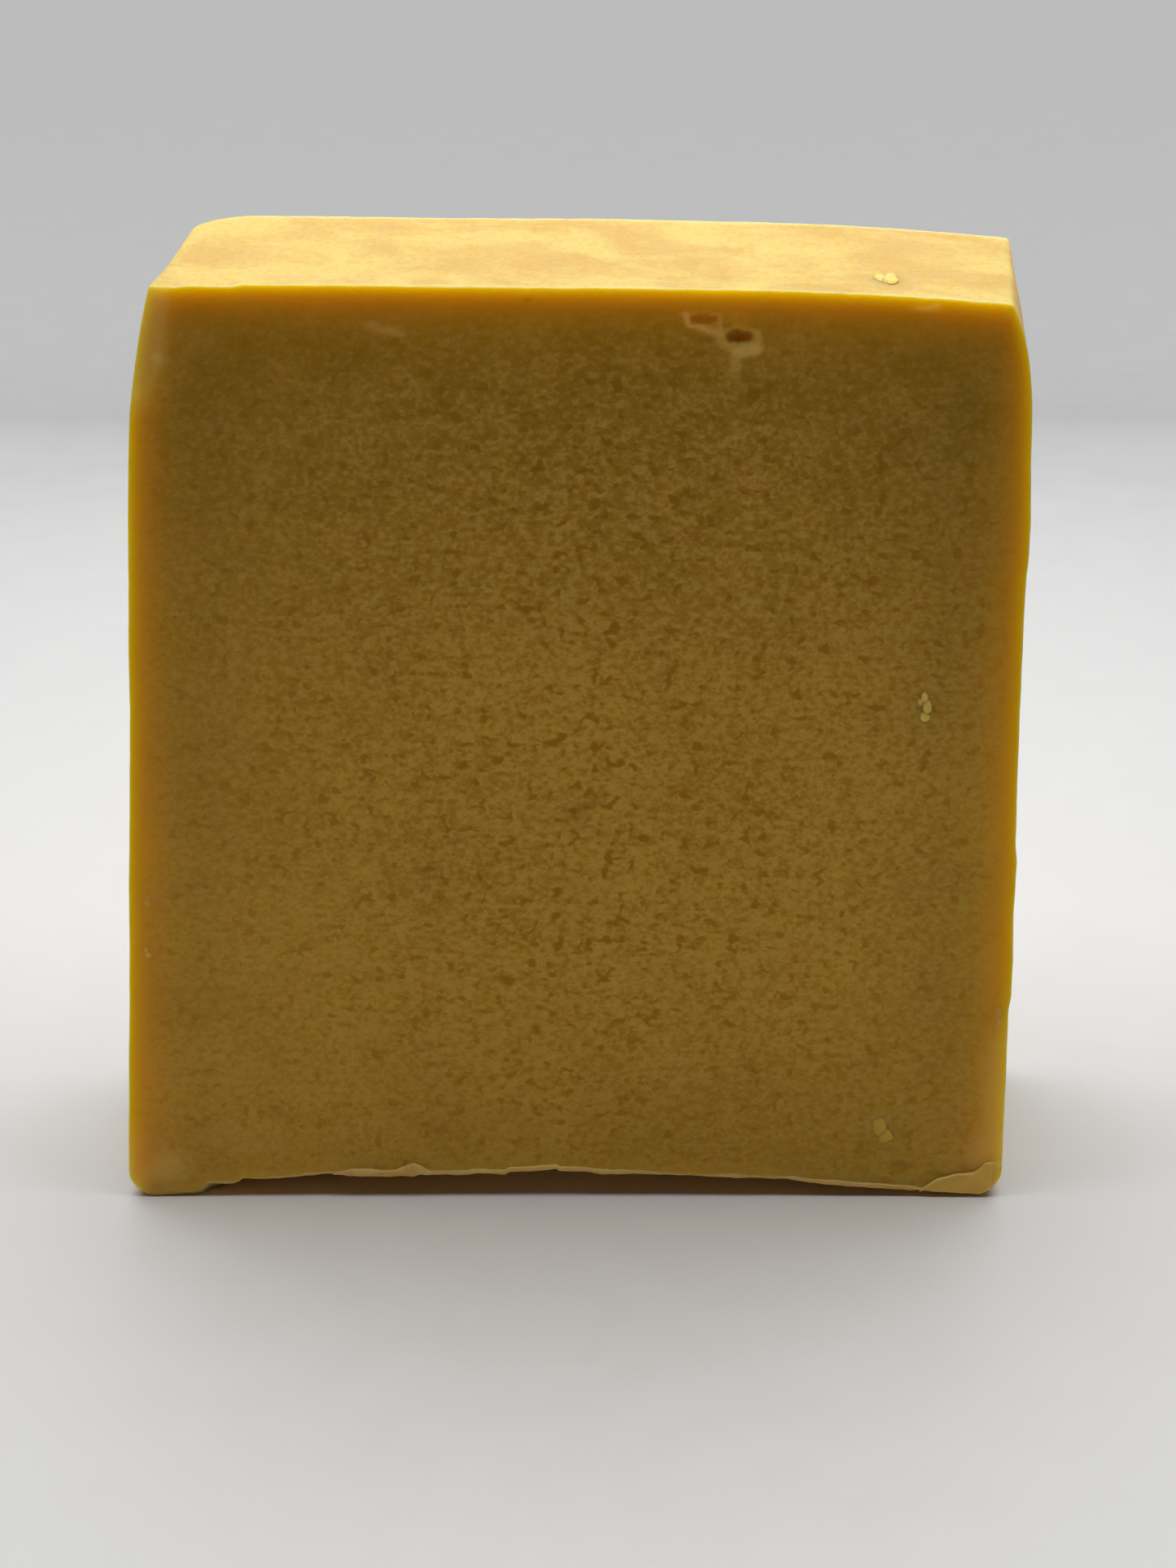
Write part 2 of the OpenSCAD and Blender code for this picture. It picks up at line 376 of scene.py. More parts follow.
def crowded_share(p):
    """Where rounding crowds the lattice: on the shaved strip and at the lower corners."""
    x, y, z = p.T
    strip = (bell(x - left_wall(FRONT_Y, z), STRIP_W) * bell(y - FRONT_Y, STRIP_D)
             * smooth_step((z - STRIP_LOW) / STRIP_EASE))
    ground = np.zeros(len(p))
    to_side = np.minimum(x - left_wall(y, ground), right_wall(y, ground) - x)
    return np.maximum(strip, bell(z, LOW_CORNER) * bell(to_side, LOW_CORNER))


def block_lattice():
    """The block as a closed lattice lying on its rounded surface, its faces and directions."""
    p, faces = sharp_lattice()
    edge = edge_radius(p)
    p = onto_block(p, edge, rounds=6)
    share = EVEN_SHARE * crowded_share(p)
    for _ in range(EVEN_ROUNDS):
        p = onto_block(evened(p, faces, share), edge, rounds=2)
    p = onto_block(p, edge, rounds=3)
    return p, faces, outward(p, edge)[0]


# ---------------- marks on the cut face

# Open air bubbles near the top: middle x, z, half width, half height, depth, darkness of the
# painted shade inside
BUBBLES = [(9.7, 76.0, 1.12, 0.46, 0.24, 0.0), (12.45, 74.66, 1.06, 0.60, 0.50, 0.26)]
# Pale streaks: round and below them a painted highlight on their lit lower lips, further off pale
# wax smeared on: from x, z to x, z, half width, strength
STROKES = [((8.25, 76.4), (8.6, 75.6), 0.22, 0.6), ((8.6, 75.6), (10.1, 75.12), 0.25, 0.65),
           ((10.1, 75.12), (11.2, 74.8), 0.28, 0.6), ((10.85, 76.1), (11.1, 75.2), 0.22, 0.5),
           ((11.0, 74.5), (12.3, 73.45), 0.32, 0.5), ((12.2, 73.35), (13.9, 73.75), 0.45, 0.8),
           ((14.0, 73.9), (13.85, 74.9), 0.25, 0.5), ((12.2, 73.2), (12.3, 72.2), 0.42, 0.45),
           ((12.3, 72.1), (12.6, 71.1), 0.3, 0.25), ((-15.6, 75.5), (-13.2, 74.8), 0.3, 0.4),
           ((26.0, 76.95), (27.6, 76.85), 0.2, 0.35), ((34.3, 76.3), (34.9, 74.9), 0.4, 0.3)]
# Pale spots elsewhere: x, z, half width, half height, strength
SMEARS = [(12.15, 67.8, 0.35, 0.45, 0.4), (12.2, 66.4, 0.45, 0.4, 0.45),
          (17.0, 74.8, 0.4, 0.4, 0.25), (20.2, 55.7, 0.45, 0.4, 0.5),
          (-15.7, 53.5, 0.5, 0.3, 0.45), (25.3, 7.0, 1.1, 1.0, 0.3), (-34.3, 2.7, 2.0, 1.9, 0.4),
          (-32.2, 72.9, 0.45, 0.5, 0.45), (-33.9, 70.0, 0.3, 0.3, 0.4), (34.2, 4.3, 1.3, 2.4, 0.35),
          (-28.5, 5.5, 3.0, 2.0, 0.12), (34.9, 9.0, 1.3, 8.0, 0.35)]
# The flap turned over on the lower right corner: its upper line, x, z
FLAP = [(28.9, 0.62), (29.7, 1.15), (30.4, 1.62), (31.7, 2.0), (33.4, 2.26), (33.9, 2.63),
        (34.4, 3.3)]
# Dents, darkened inside with painted shade: x, z, half width, half height, depth
DENTS = [(-24.9, 8.1, 1.1, 0.45, 0.10), (-11.6, 6.3, 1.3, 0.5, 0.12), (27.3, 2.9, 1.2, 0.6, 0.12),
         (26.0, 1.25, 0.3, 0.35, 0.35), (-1.2, 34.8, 0.22, 0.2, 0.2), (0.5, 33.9, 0.35, 0.22, 0.2),
         (-3.6, 77.6, 0.25, 0.2, 0.15), (17.5, 74.8, 0.75, 0.25, 0.10),
         (34.7, 15.7, 0.35, 0.2, 0.2), (10.2, 74.3, 0.9, 0.3, 0.06), (-6.5, 31.9, 0.5, 0.25, 0.1),
         (8.0, 26.6, 0.45, 0.3, 0.12), (-1.1, 28.3, 0.3, 0.4, 0.1), (3.7, 30.0, 0.5, 0.3, 0.1),
         (14.4, 35.4, 0.3, 0.25, 0.15), (6.4, 33.4, 0.35, 0.25, 0.1), (14.8, 70.8, 0.35, 0.9, 0.08),
         (12.6, 69.9, 0.3, 0.5, 0.08)]
# Marks that something dragged along: from x, z to x, z, bulge to the left of travel, depth
DRAGS = [((-8.2, 27.9), (-4.9, 31.4), 0.9, 0.11), ((-13.6, 22.6), (-12.2, 24.6), 0.5, 0.07),
         ((-1.0, 35.0), (2.6, 36.4), 0.15, 0.12), ((-25.5, 65.0), (-26.3, 42.0), 0.0, 0.035),
         ((-26.5, 7.4), (-4.0, 7.0), 0.2, 0.03), ((-20.0, 8.4), (0.7, 7.8), -0.2, 0.025)]


def wobbly(p, size, cell, seed):
    """The x and z of each point, shifted a little so that outlines there come out ragged."""
    x, _, z = p.T
    return x + size * lattice_noise(p, cell, seed), z + size * lattice_noise(p, cell, seed + 1)


def blob(x, z, outline):
    """How far each point lies from a mark's middle, 1 being its outline."""
    middle_x, middle_z, half_w, half_h = outline
    return np.hypot((x - middle_x) / half_w, (z - middle_z) / half_h)


def drag_distance(x, z, start, end, bulge):
    """Distance from a bowed line, and how far along it each point lies, 0 to 1."""
    (x0, z0), (x1, z1) = start, end
    length = math.hypot(x1 - x0, z1 - z0)
    along_x, along_z = (x1 - x0) / length, (z1 - z0) / length
    t = np.clip(((x - x0) * along_x + (z - z0) * along_z) / length, 0, 1)
    bow = 4 * bulge * t * (1 - t)
    line_x = x0 + t * length * along_x - bow * along_z
    line_z = z0 + t * length * along_z + bow * along_x
    return np.hypot(x - line_x, z - line_z), t


def from_side(x, z):
    """How far in from the nearer side of the front face a point lies."""
    return np.minimum(x - left_wall(FRONT_Y, z), right_wall(FRONT_Y, z) - x)


def glow_share(x, z):
    """The share of painted glow: how near the sides or top of the cut face a point lies, 1 at its
    very edge.
    """
    side_w, top_w, gain = 1.5, 2.5, 1.35
    to_top = top_surface(x, np.full_like(x, FRONT_Y)) - z
    away = np.maximum(np.minimum(from_side(x, z) / side_w, to_top / top_w), 0)
    return np.minimum(gain * np.exp(-away), 1)


def dim_share(x, z):
    """How much darker the cut face is made: a band inside each side, and painted shade towards the
    upper right.
    """
    band_in, band_w, dimming = 5, 3.2, 0.08
    # painted shade towards the upper right
    upper_right = smooth_step((x - 10) / 18) * smooth_step((z - 32) / 18)
    band = bell(from_side(x, z) - band_in, band_w) * smooth_step(z / 14)
    return dimming * band + dimming * upper_right


def lens(x, z):
    """Where the cut face is torn most: an upright lens about its middle."""
    middle_x, middle_z, half_w, half_h = 4, 44, 31, 38
    return smooth_step(1.4 - np.hypot((x - middle_x) / half_w, (z - middle_z) / half_h))


def facing(along, start=0.6, ease=0.3):
    """1 where the outward direction has much along an axis, easing to 0 where it has less."""
    return smooth_step((along - start) / ease)


class Carving:
    """What knife and mould did to each point: its move straight out, and its colour marks, with
    painted glow, shade and highlights among them.
    """

    def __init__(self, p, out):
        self.p = p
        self.x, self.y, self.z = p.T
        self.ragged = wobbly(p, size=0.22, cell=0.9, seed=31)
        self.front, self.under = facing(-out[:, 1]), facing(-out[:, 2])
        self.cut = facing(np.abs(out[:, 1]))
        self.move = np.zeros(len(p))
        # painted glow along the sides and top of the cut face, where light shines through
        painted_glow = self.cut * glow_share(self.x, self.z)
        torn = 0.52 + 0.48 * lens(self.x, self.z)
        self.marks = {
            "up": facing(out[:, 2], start=0.5), "pale": 0 * self.move, "recess_shade": 0 * self.move,
            "mottle": self.cut * torn * (1 - 0.8 * painted_glow),
            "bloom": (1 - self.cut) * (1 - self.under), "painted_glow": painted_glow, "shaved": 0 * self.move,
            "dim": self.cut * dim_share(self.x, self.z)}

    def at_least(self, mark, share):
        """Raises a mark to this share wherever it is less."""
        self.marks[mark] = np.maximum(self.marks[mark], share)

    def less(self, mark, share):
        """Leaves only this share of a mark."""
        self.marks[mark] = self.marks[mark] * share

    def roughen(self):
        """Broad waves all over, tears on the cut faces, and waves on the moulded ones."""
        p, mottle = self.p, self.marks["mottle"]
        self.move += (0.10 * lattice_noise(p, cell=17.0, seed=1)
                      + 0.04 * layered_noise(p, cell=6.0, seed=2, layers=2))
        self.move += mottle * 0.045 * layered_noise(p, cell=(1.4, 1.4, 1.2), seed=3, layers=2)
        self.move += (1 - self.cut) * 0.025 * layered_noise(p, cell=(4.0, 2.2, 4.0), seed=5)
        self.move += self.under * 0.12 * layered_noise(p, cell=(3.5, 5.0, 3.5), seed=7)

    def spread(self, shade, thick):
        """Pale colour on the front face, standing this thick where it is full: pale wax, and round
        and below the bubbles a painted highlight.
        """
        self.at_least("pale", self.front * shade)
        self.move += self.front * thick * shade

    def smear(self, outline, strength):
        """A pale spot."""
        self.spread(strength * smooth_step(1.35 - blob(*self.ragged, outline)), thick=0.05)

    def stroke(self, start, end, half, strength):
        """A pale, straight streak."""
        gap, _ = drag_distance(*self.ragged, start, end, bulge=0.0)
        self.spread(strength * smooth_step(1.4 - 0.9 * gap / half), thick=0.04)

    def dent(self, outline, depth):
        """A dent, darkened inside with painted shade."""
        darkness = 0.35
        pit = smooth_step(1.3 - blob(*self.ragged, outline))
        # painted shade inside the dent
        self.at_least("recess_shade", darkness * self.front * pit)
        self.move -= self.front * depth * pit

    def drag(self, start, end, bulge, depth):
        """A groove that something dragged along, with a ridge of wax round it and painted shade in
        the groove.
        """
        groove_w, ridge_at, ridge_w, ridge_h, darkness = 0.28, 0.6, 0.3, 0.5, 3.5
        gap, t = drag_distance(*self.ragged, start, end, bulge)
        fade = np.sqrt(np.clip(4 * t * (1 - t), 0, 1))
        groove = bell(gap, groove_w) * fade
        ridge = bell(gap - ridge_at, ridge_w) * fade
        self.move += self.front * depth * (ridge_h * ridge - groove)
        # painted shade in the groove
        self.at_least("recess_shade", self.front * darkness * depth * groove)

    def open_bubble(self, outline, depth, darkness):
        """An opened air bubble in a raised ring with a painted highlight. Each has painted glow
        inside as the rims do, a light one much, a dark one a little and painted shade.
        """
        ring_at, ring_w, ring_h, ring_highlight = 1.2, 0.16, 0.05, 0.3
        glow = 0.2 if darkness else 0.8
        away = blob(*wobbly(self.p, size=0.1, cell=0.8, seed=41), outline)
        hollow = np.sqrt(np.clip(1 - away**2, 0, 1))
        ring = bell(away - ring_at, ring_w)
        self.move += self.front * (ring_h * ring - depth * hollow)
        self.less("recess_shade", away > 1)
        # painted shade inside a dark bubble
        self.at_least("recess_shade", self.front * darkness * hollow)
        # painted glow inside the bubble
        self.at_least("painted_glow", glow * self.front * hollow)
        self.less("pale", hollow < 0.05)
        # painted highlight on the ring
        self.at_least("pale", self.front * ring_highlight * ring)

    def bed_flap(self):
        """The bed of the flap on the lower right corner, raised and a little paler, with a painted
        highlight along its upper line and less painted glow.
        """
        height, line_at, line_w, line_highlight, bed_pale, glow_less = 0.12, 0.22, 0.3, 0.7, 0.10, 0.15
        below = np.interp(self.x, *zip(*FLAP)) - self.z
        on_flap = self.front * smooth_step((self.x - FLAP[0][0]) / 0.4)
        bed = smooth_step(below / 0.3)
        self.move += height * on_flap * bed
        # painted highlight along the flap's upper line
        self.at_least("pale", line_highlight * on_flap * bell(below - line_at, line_w))
        self.at_least("pale", bed_pale * on_flap * bed)
        # less painted glow on the flap
        self.less("painted_glow", 1 - glow_less * on_flap * bed)

    def paint_lower_edge_glow(self):
        """Painted glow of the thin wax along the lip and underneath."""
        under_glow, lip_glow, lip_w = 0.6, 0.7, 0.9
        above_lip = np.maximum(self.z - lip_height(self.x), 0)
        # painted glow underneath and along the lip
        self.at_least("painted_glow", under_glow * self.under)
        self.at_least("painted_glow", lip_glow * self.front * bell(above_lip, lip_w))

    def shave(self):
        """The colour of the strip that was shaved off the front left edge."""
        border_w, strength = 1.1, 0.9
        within = (np.interp(self.z, *zip(*SHAVED)) - self.x
                  + 0.35 * layered_noise(self.p, cell=1.6, seed=45, layers=2))
        strip = (self.front * smooth_step(0.5 + within / border_w)
                 * smooth_step((self.z - SHAVED[0][0]) / 5))
        self.marks["shaved"] = strength * strip

    def paint_top_edge_highlights(self):
        """Painted highlights: pale lines along the top's front and back edges."""
        front_highlight, back_highlight, line_w = 0.4, 0.8, 0.55
        uneven = 0.15 * lattice_noise(self.p, cell=2.5, seed=51)
        for to_edge, pale in ((self.y - FRONT_Y, front_highlight), (BACK_Y - self.y, back_highlight)):
            # painted highlights along the top's edges
            self.at_least("pale", pale * self.marks["up"] * bell(to_edge - uneven, line_w))


def carve(p, out):
    """How far each point moves along out, and the colour marks that go with it."""
    carving = Carving(p, out)
    carving.roughen()
    for *outline, strength in SMEARS:
        carving.smear(outline, strength)
    for stroke in STROKES:
        carving.stroke(*stroke)
    for *outline, depth in DENTS:
        carving.dent(outline, depth)
    for drag in DRAGS:
        carving.drag(*drag)
    for *outline, depth, darkness in BUBBLES:
        carving.open_bubble(outline, depth, darkness)
    carving.bed_flap()
    carving.paint_lower_edge_glow()
    carving.shave()
    carving.paint_top_edge_highlights()
    return carving.move, carving.marks


# ---------------- meshes

def make_mesh(name, points, faces, marks=None):
    """A smooth mesh object from points in millimetres, with each mark as a number on them."""
    mesh = bpy.data.meshes.new(name)
    mesh.from_pydata((points * MM).tolist(), [], [list(map(int, f)) for f in faces])
    for mark, values in (marks or {}).items():
        layer = mesh.attributes.new(mark, "FLOAT", "POINT")
        layer.data.foreach_set("value", np.asarray(values, np.float32))
    mesh.polygons.foreach_set("use_smooth", [True] * len(mesh.polygons))
    mesh.update()
    piece = bpy.data.objects.new(name, mesh)
    bpy.context.scene.collection.objects.link(piece)
    return piece


def settle(piece, material, node=None):
    """Gives a finished piece its material and place. It stands for the CAD node named."""
    piece.data.materials.append(material)
    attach(piece, "root")
    if node:
        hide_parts(node)


def make_block(material):
    points, faces, out = block_lattice()
    move, marks = carve(points, out)
    piece = make_mesh("bar_block", points + out * move[:, None], faces, marks)
    settle(piece, material, "bar")


def ring_numbers(rings, sides):
    """The numbers of the points on closed rings, ring by ring."""
    return np.arange(rings * sides).reshape(rings, sides)


def band_faces(number):
    """Four-sided faces between each closed ring of points and the next, from their numbers."""
    after = np.roll(number, -1, axis=1)
    corners = [number[:-1], after[:-1], after[1:], number[1:]]
    return np.stack(corners, axis=2).reshape(-1, 4).tolist()


def make_tube(name, path, half_z, half_y, sides, seed, rough):
    """A lumpy closed tube along a path, its section half_z high and half_y deep each way."""
    turn = np.linspace(0, 2 * math.pi, sides, endpoint=False)
    ring = np.stack([0 * turn, -np.cos(turn), np.sin(turn)], axis=1)
    scale = np.stack([0 * half_z, half_y, half_z], axis=1)
    points = (path[:, None, :] + ring[None] * scale[:, None, :]).reshape(-1, 3)
    bump = 1 + rough * layered_noise(points, cell=0.8, seed=seed, layers=2)
    middle = np.repeat(path, sides, axis=0)
    number = ring_numbers(len(path), sides)
    faces = band_faces(number) + [number[0][::-1], number[-1]]
    return make_mesh(name, middle + (points - middle) * bump[:, None], faces)


def make_burr(material):
    """The thin pale burr that the knife turned over along the lower front edge."""
    first, last, step, end_w = -31.6, 29.6, 0.14, 2.0
    x = np.arange(first, last, step)
    ragged = noise_along(x, cell=1.3, seed=61)
    uneven = noise_along(x, cell=5.0, seed=65, layers=2)
    ends = smooth_step((x - first) / end_w) * smooth_step((last - x) / end_w)
    half_z = (0.23 + 0.10 * ragged + 0.07 * uneven) * (0.3 + 0.7 * ends)
    half_y = 0.10 + 0.03 * uneven
    z = lip_height(x) + 0.15 + 0.05 * noise_along(x, cell=0.9, seed=67, layers=2)
    path = np.stack([x, 0 * x + FRONT_Y + 0.04, z], axis=1)
    burr = make_tube("lip_burr", path, np.maximum(half_z, 0.05), half_y, sides=12, seed=71,
                     rough=0.25)
    settle(burr, material)


def make_sliver(material):
    """The thicker sliver on the lip, and the lump at its right end."""
    # Its spine: x, z, half height
    spine = [(-20.6, 2.15, 0.06), (-20.0, 2.3, 0.20), (-19.0, 2.42, 0.36), (-17.6, 2.42, 0.34),
             (-16.6, 2.35, 0.22), (-15.4, 2.35, 0.25), (-14.5, 2.5, 0.42), (-13.8, 2.68, 0.55),
             (-13.2, 2.6, 0.45), (-12.6, 2.35, 0.24), (-12.1, 2.25, 0.06)]
    at, z, half = zip(*spine)
    x = np.arange(at[0], at[-1], 0.12)
    half_z = np.interp(x, at, half)
    path = np.stack([x, 0 * x + FRONT_Y + 0.05, np.interp(x, at, z)], axis=1)
    sliver = make_tube("lip_sliver", path, half_z, 0.12 + 0.3 * half_z, sides=16, seed=75,
                       rough=0.35)
    settle(sliver, material, "lip_shaving")


def make_lumps(name, middles, seed, rough=0.35, steps_across=11):
    """Small rough lumps joined in one mesh. Each is a middle and its half sizes, and the
    middle's depth counts from the front face."""
    all_points, all_faces = [], []
    steps, faces = lattice_box(*[np.linspace(0, 1, steps_across)] * 3)
    ball = 2 * steps - 1
    ball /= np.linalg.norm(ball, axis=1)[:, None]
    for k, (middle, half) in enumerate(middles):
        grain = layered_noise(ball + 9.0 * k, cell=0.9, seed=seed)
        place = np.array(middle) + [0, FRONT_Y, 0]
        all_points.append(ball * (1 + rough * grain)[:, None] * np.array(half) + place)
        all_faces += (faces + len(ball) * k).tolist()
    return make_mesh(name, np.concatenate(all_points), all_faces)


def make_top_crumb(material):
    across, depth = 24, 4.9
    x = across + depth * math.tan(MEAN_SKEW)
    top = float(top_surface(np.array([x]), np.array([FRONT_Y + depth]))[0])
    crumb = make_lumps("crumb_on_top", [
        ((x, depth, top - 0.02), (0.62, 1.15, 0.26)),
        ((x - 0.75, 5.7, top - 0.02), (0.55, 1.1, 0.20)),
        ((x + 0.1, 6.2, top - 0.04), (0.45, 0.9, 0.18))], seed=80)
    settle(crumb, material, "top_crumb")


def make_flake(material):
    """The pale flake on the upper right of the cut face."""
    flake = make_lumps("flake_on_face", [
        ((27.75, 0.06, 45.15), (0.30, 0.24, 0.55)),
        ((27.98, 0.06, 44.3), (0.34, 0.26, 0.62)),
        ((27.42, 0.05, 44.75), (0.24, 0.18, 0.40)),
        ((27.80, 0.06, 43.45), (0.42, 0.24, 0.42))], seed=81)
    settle(flake, material, "face_flake")


def make_dab(material):
    """The dab of smeared wax low on the right of the cut face."""
    dab = make_lumps("dab_low_on_face", [
        ((25.35, 0.10, 6.7), (0.60, 0.17, 0.95)),
        ((25.85, 0.10, 5.7), (0.62, 0.17, 0.70))], seed=82)
    settle(dab, material, "lower_face_dab")


def make_right_crumb(material):
    crumb = make_lumps("crumb_right_edge", [
        ((34.85, 0.08, 17.3), (0.38, 0.22, 0.55)),
        ((34.98, 0.08, 16.5), (0.27, 0.18, 0.36))], seed=83)
    settle(crumb, material, "right_edge_crumb")


def make_left_crumbs(material):
    crumbs = make_lumps("crumbs_left_edge", [
        ((-35.15, 0.06, 27.2), (0.28, 0.17, 0.30)),
        ((-35.1, 0.06, 27.6), (0.18, 0.13, 0.22)),
        ((-35.3, 0.06, 22.5), (0.26, 0.17, 0.26)),
        ((-35.45, 0.06, 22.9), (0.17, 0.13, 0.2))], seed=84)
    settle(crumbs, material, "left_edge_crumbs")


def make_flap_ridge(material):
    """The ridge along the upper line of the flap turned over on the lower right corner."""
    at, z = (np.array(c) for c in zip(*FLAP))
    run = np.concatenate([[0], np.cumsum(np.hypot(np.diff(at), np.diff(z)))])
    along = np.arange(0, run[-1], 0.1)
    share = along / run[-1]
    half = 0.07 + 0.16 * np.sin(math.pi * share**0.8)
    path = np.stack([np.interp(along, run, at), 0 * along + FRONT_Y - 0.05,
                     np.interp(along, run, z) - 0.08], axis=1)
    path[:, 2] += 0.04 * layered_noise(path, cell=0.9, seed=91, layers=2)
    ridge = make_tube("corner_flap", path, half, 0.7 * half, sides=12, seed=93, rough=0.3)
    settle(ridge, material, "corner_curl")


def make_flap_sheet(material):
    """The thin sheet of wax below that ridge, smoothed down over the lower right corner."""
    full_thick, least_thick, rim_w, sunk = 0.26, 0.01, 0.35, 0.06
    steps, faces = lattice_box(np.linspace(0, 1, 45), np.linspace(0, 1, 3), np.linspace(0, 1, 17))
    u, v, w = steps.T
    first, last = FLAP[0][0] + 0.3, FLAP[-1][0] + 0.75
    x = first + u * (last - first)
    radius = CORNER_R["low_right"]
    bend = np.clip(x - (RIGHT_BASE - 0.1 - radius), 0, 0.98 * radius)
    low = np.maximum(lip_height(x), 0.05 + radius - np.sqrt(radius**2 - bend**2))
    z = low + w * (np.maximum(np.interp(x, *zip(*FLAP)), low + 0.2) - low)
    rim_gap = np.minimum(np.minimum(z - low, 1.2 * (x - first)), 1.5 * (last - x))
    thick = full_thick * np.sqrt(smooth_step(rim_gap / rim_w)) + least_thick
    points = np.stack([x, FRONT_Y + sunk - (1 - v) * thick, z], axis=1)
    points[:, 1] -= (1 - v) * 0.05 * layered_noise(points, cell=1.3, seed=97, layers=2)
    settle(make_mesh("flap_sheet", points, faces), material)


# ---------------- materials

class Nodes:
    """Shorthand for building one material's nodes."""

    COLOUR_A, COLOUR_B, COLOUR_OUT = 6, 7, 2  # a Mix node's sockets for colours

    def __init__(self, name):
        self.material = bpy.data.materials.new(name)
        self.material.use_nodes = True
        self.tree = self.material.node_tree
        self.shader = next(n for n in self.tree.nodes if n.type == "BSDF_PRINCIPLED")
        self.place = self.new("TexCoord").outputs["Object"]

    def link(self, source, socket):
        """Gives a socket a number, a colour or what another node puts out."""
        if isinstance(source, (int, float)):
            socket.default_value = source
        elif isinstance(source, (tuple, list)):
            socket.default_value = (*source, 1.0)
        else:
            self.tree.links.new(source, socket)

    def new(self, kind, **inputs):
        """A new node of this kind, with what each named input gets."""
        node = self.tree.nodes.new("ShaderNode" + kind)
        for name, source in inputs.items():
            self.link(source, node.inputs[name])
        return node

    def shade(self, name, source):
        """Gives one of the material's own shader's inputs what it gets."""
        self.link(source, self.shader.inputs[name])

    def noise(self, size_mm, detail=2.0, roughness=0.5, stretch=(1, 1, 1), distortion=0.0):
        """Noise from 0 to 1 with features of about this size."""
        mapping = self.new("Mapping", Vector=self.place)
        mapping.inputs["Scale"].default_value = [1 / (size_mm * MM * s) for s in stretch]
        texture = self.new("TexNoise", Vector=mapping.outputs["Vector"], Scale=1.0, Detail=detail,
                           Roughness=roughness, Distortion=distortion)
        return texture.outputs["Fac"]

    def axes(self):
        """The place along x, y and z in metres."""
        split = self.new("SeparateXYZ", Vector=self.place)
        return [split.outputs[axis] for axis in "XYZ"]

    def height(self):
        """Height over the ground in millimetres."""
        return self.maths("DIVIDE", self.axes()[2], MM)

    def ramp(self, value, low, high, to_low=0.0, to_high=1.0):
        """The value with low..high spread over to_low..to_high, and clamped."""
        node = self.new("MapRange", Value=value)
        for socket, number in zip(node.inputs[1:5], (low, high, to_low, to_high)):
            socket.default_value = number
        return node.outputs["Result"]

    def maths(self, operation, *numbers):
        node = self.new("Math")
        node.operation = operation
        for socket, number in zip(node.inputs, numbers):
            self.link(number, socket)
        return node.outputs[0]

    def times(self, a, b):
        return self.maths("MULTIPLY", a, b)

    def plus(self, a, b):
        return self.maths("ADD", a, b)

    def minus(self, a, b):
        return self.maths("SUBTRACT", a, b)

    def mark(self, name):
        """One of the marks that the mesh's points carry."""
        node = self.new("Attribute")
        node.attribute_name = name
        return node.outputs["Fac"]

    def mix(self, share, a, b):
        """Colour a turned into colour b by a share from 0 to 1."""
        node = self.new("Mix", Factor=share)
        node.data_type = "RGBA"
        self.link(a, node.inputs[self.COLOUR_A])
        self.link(b, node.inputs[self.COLOUR_B])
        return node.outputs[self.COLOUR_OUT]

    def tint(self, colour, share, strength, other):
        """A colour turned into another by a share times a strength."""
        return self.mix(self.times(share, strength), colour, other)

    def bump(self, height, depth_mm):
        """A normal roughened by a height of this depth."""
        return self.new("Bump", Height=height, Distance=depth_mm * MM).outputs["Normal"]


# Cut-face wax. The top and crown colours are darker with painted shade; the top colour also tints
# darker broad patches
WAX_SHADED_CROWN = (0.465, 0.230, 0.016)
WAX_SHADED_TOP_AND_PATCH = (0.455, 0.253, 0.022)
WAX_LOW = (0.70, 0.420, 0.054)
WAX_BROWN = (0.71, 0.390, 0.060)
WAX_DARK_SHADED_TOP = (0.34, 0.165, 0.003)
WAX_DARK_LOW = (0.45, 0.215, 0.006)
WAX_PALE = (0.80, 0.535, 0.115)
WAX_SMEAR_AND_HIGHLIGHT = (0.93, 0.69, 0.20)
WAX_SHAVED = (0.66, 0.445, 0.075)
WAX_BLOOM = (0.71, 0.505, 0.150)
WAX_DUSK = (0.61, 0.385, 0.118)
WAX_FRECKLE = (0.61, 0.345, 0.070)
EDGE_HIGHLIGHT = (0.88, 0.68, 0.32)
# Painted shade in the dents, the grooves and the dark bubble
RECESS_SHADE_COLOUR = (0.40, 0.17, 0.004)
DIM_AND_SHADE_COLOUR = (0.05, 0.025, 0.001)
# Painted glow where light shines through the wax at the rims: high up, low down and at the foot
PAINTED_GLOW_TOP = (0.62, 0.375, 0.0005)
PAINTED_GLOW_LOW = (0.765, 0.408, 0.003)
PAINTED_GLOW_FOOT = (0.98, 0.45, 0.090)
# Thin wax: dull, bright and dark
BURR_WAX = (0.83, 0.56, 0.17), (0.90, 0.62, 0.22), (0.72, 0.44, 0.10)
FLAKE_WAX = (0.92, 0.62, 0.14), (0.96, 0.68, 0.18), (0.82, 0.50, 0.08)
DAB_WAX = (0.79, 0.485, 0.08), (0.85, 0.54, 0.11), (0.70, 0.41, 0.05)
FLAP_WAX = (0.90, 0.56, 0.12), (0.95, 0.61, 0.15), (0.80, 0.47, 0.07)
CRUMB_DULL, CRUMB_BRIGHT = (0.90, 0.56, 0.13), (0.94, 0.61, 0.18)

SCATTER_MM = (6.0, 4.2, 0.3)  # how far red, green and blue light goes in the block
THIN_SCATTER, CRUMB_SCATTER = 0.03, 0.08  # shares of that in shavings and the clean crumb
WAX_IOR, WAX_SPECULAR = 1.45, 0.12

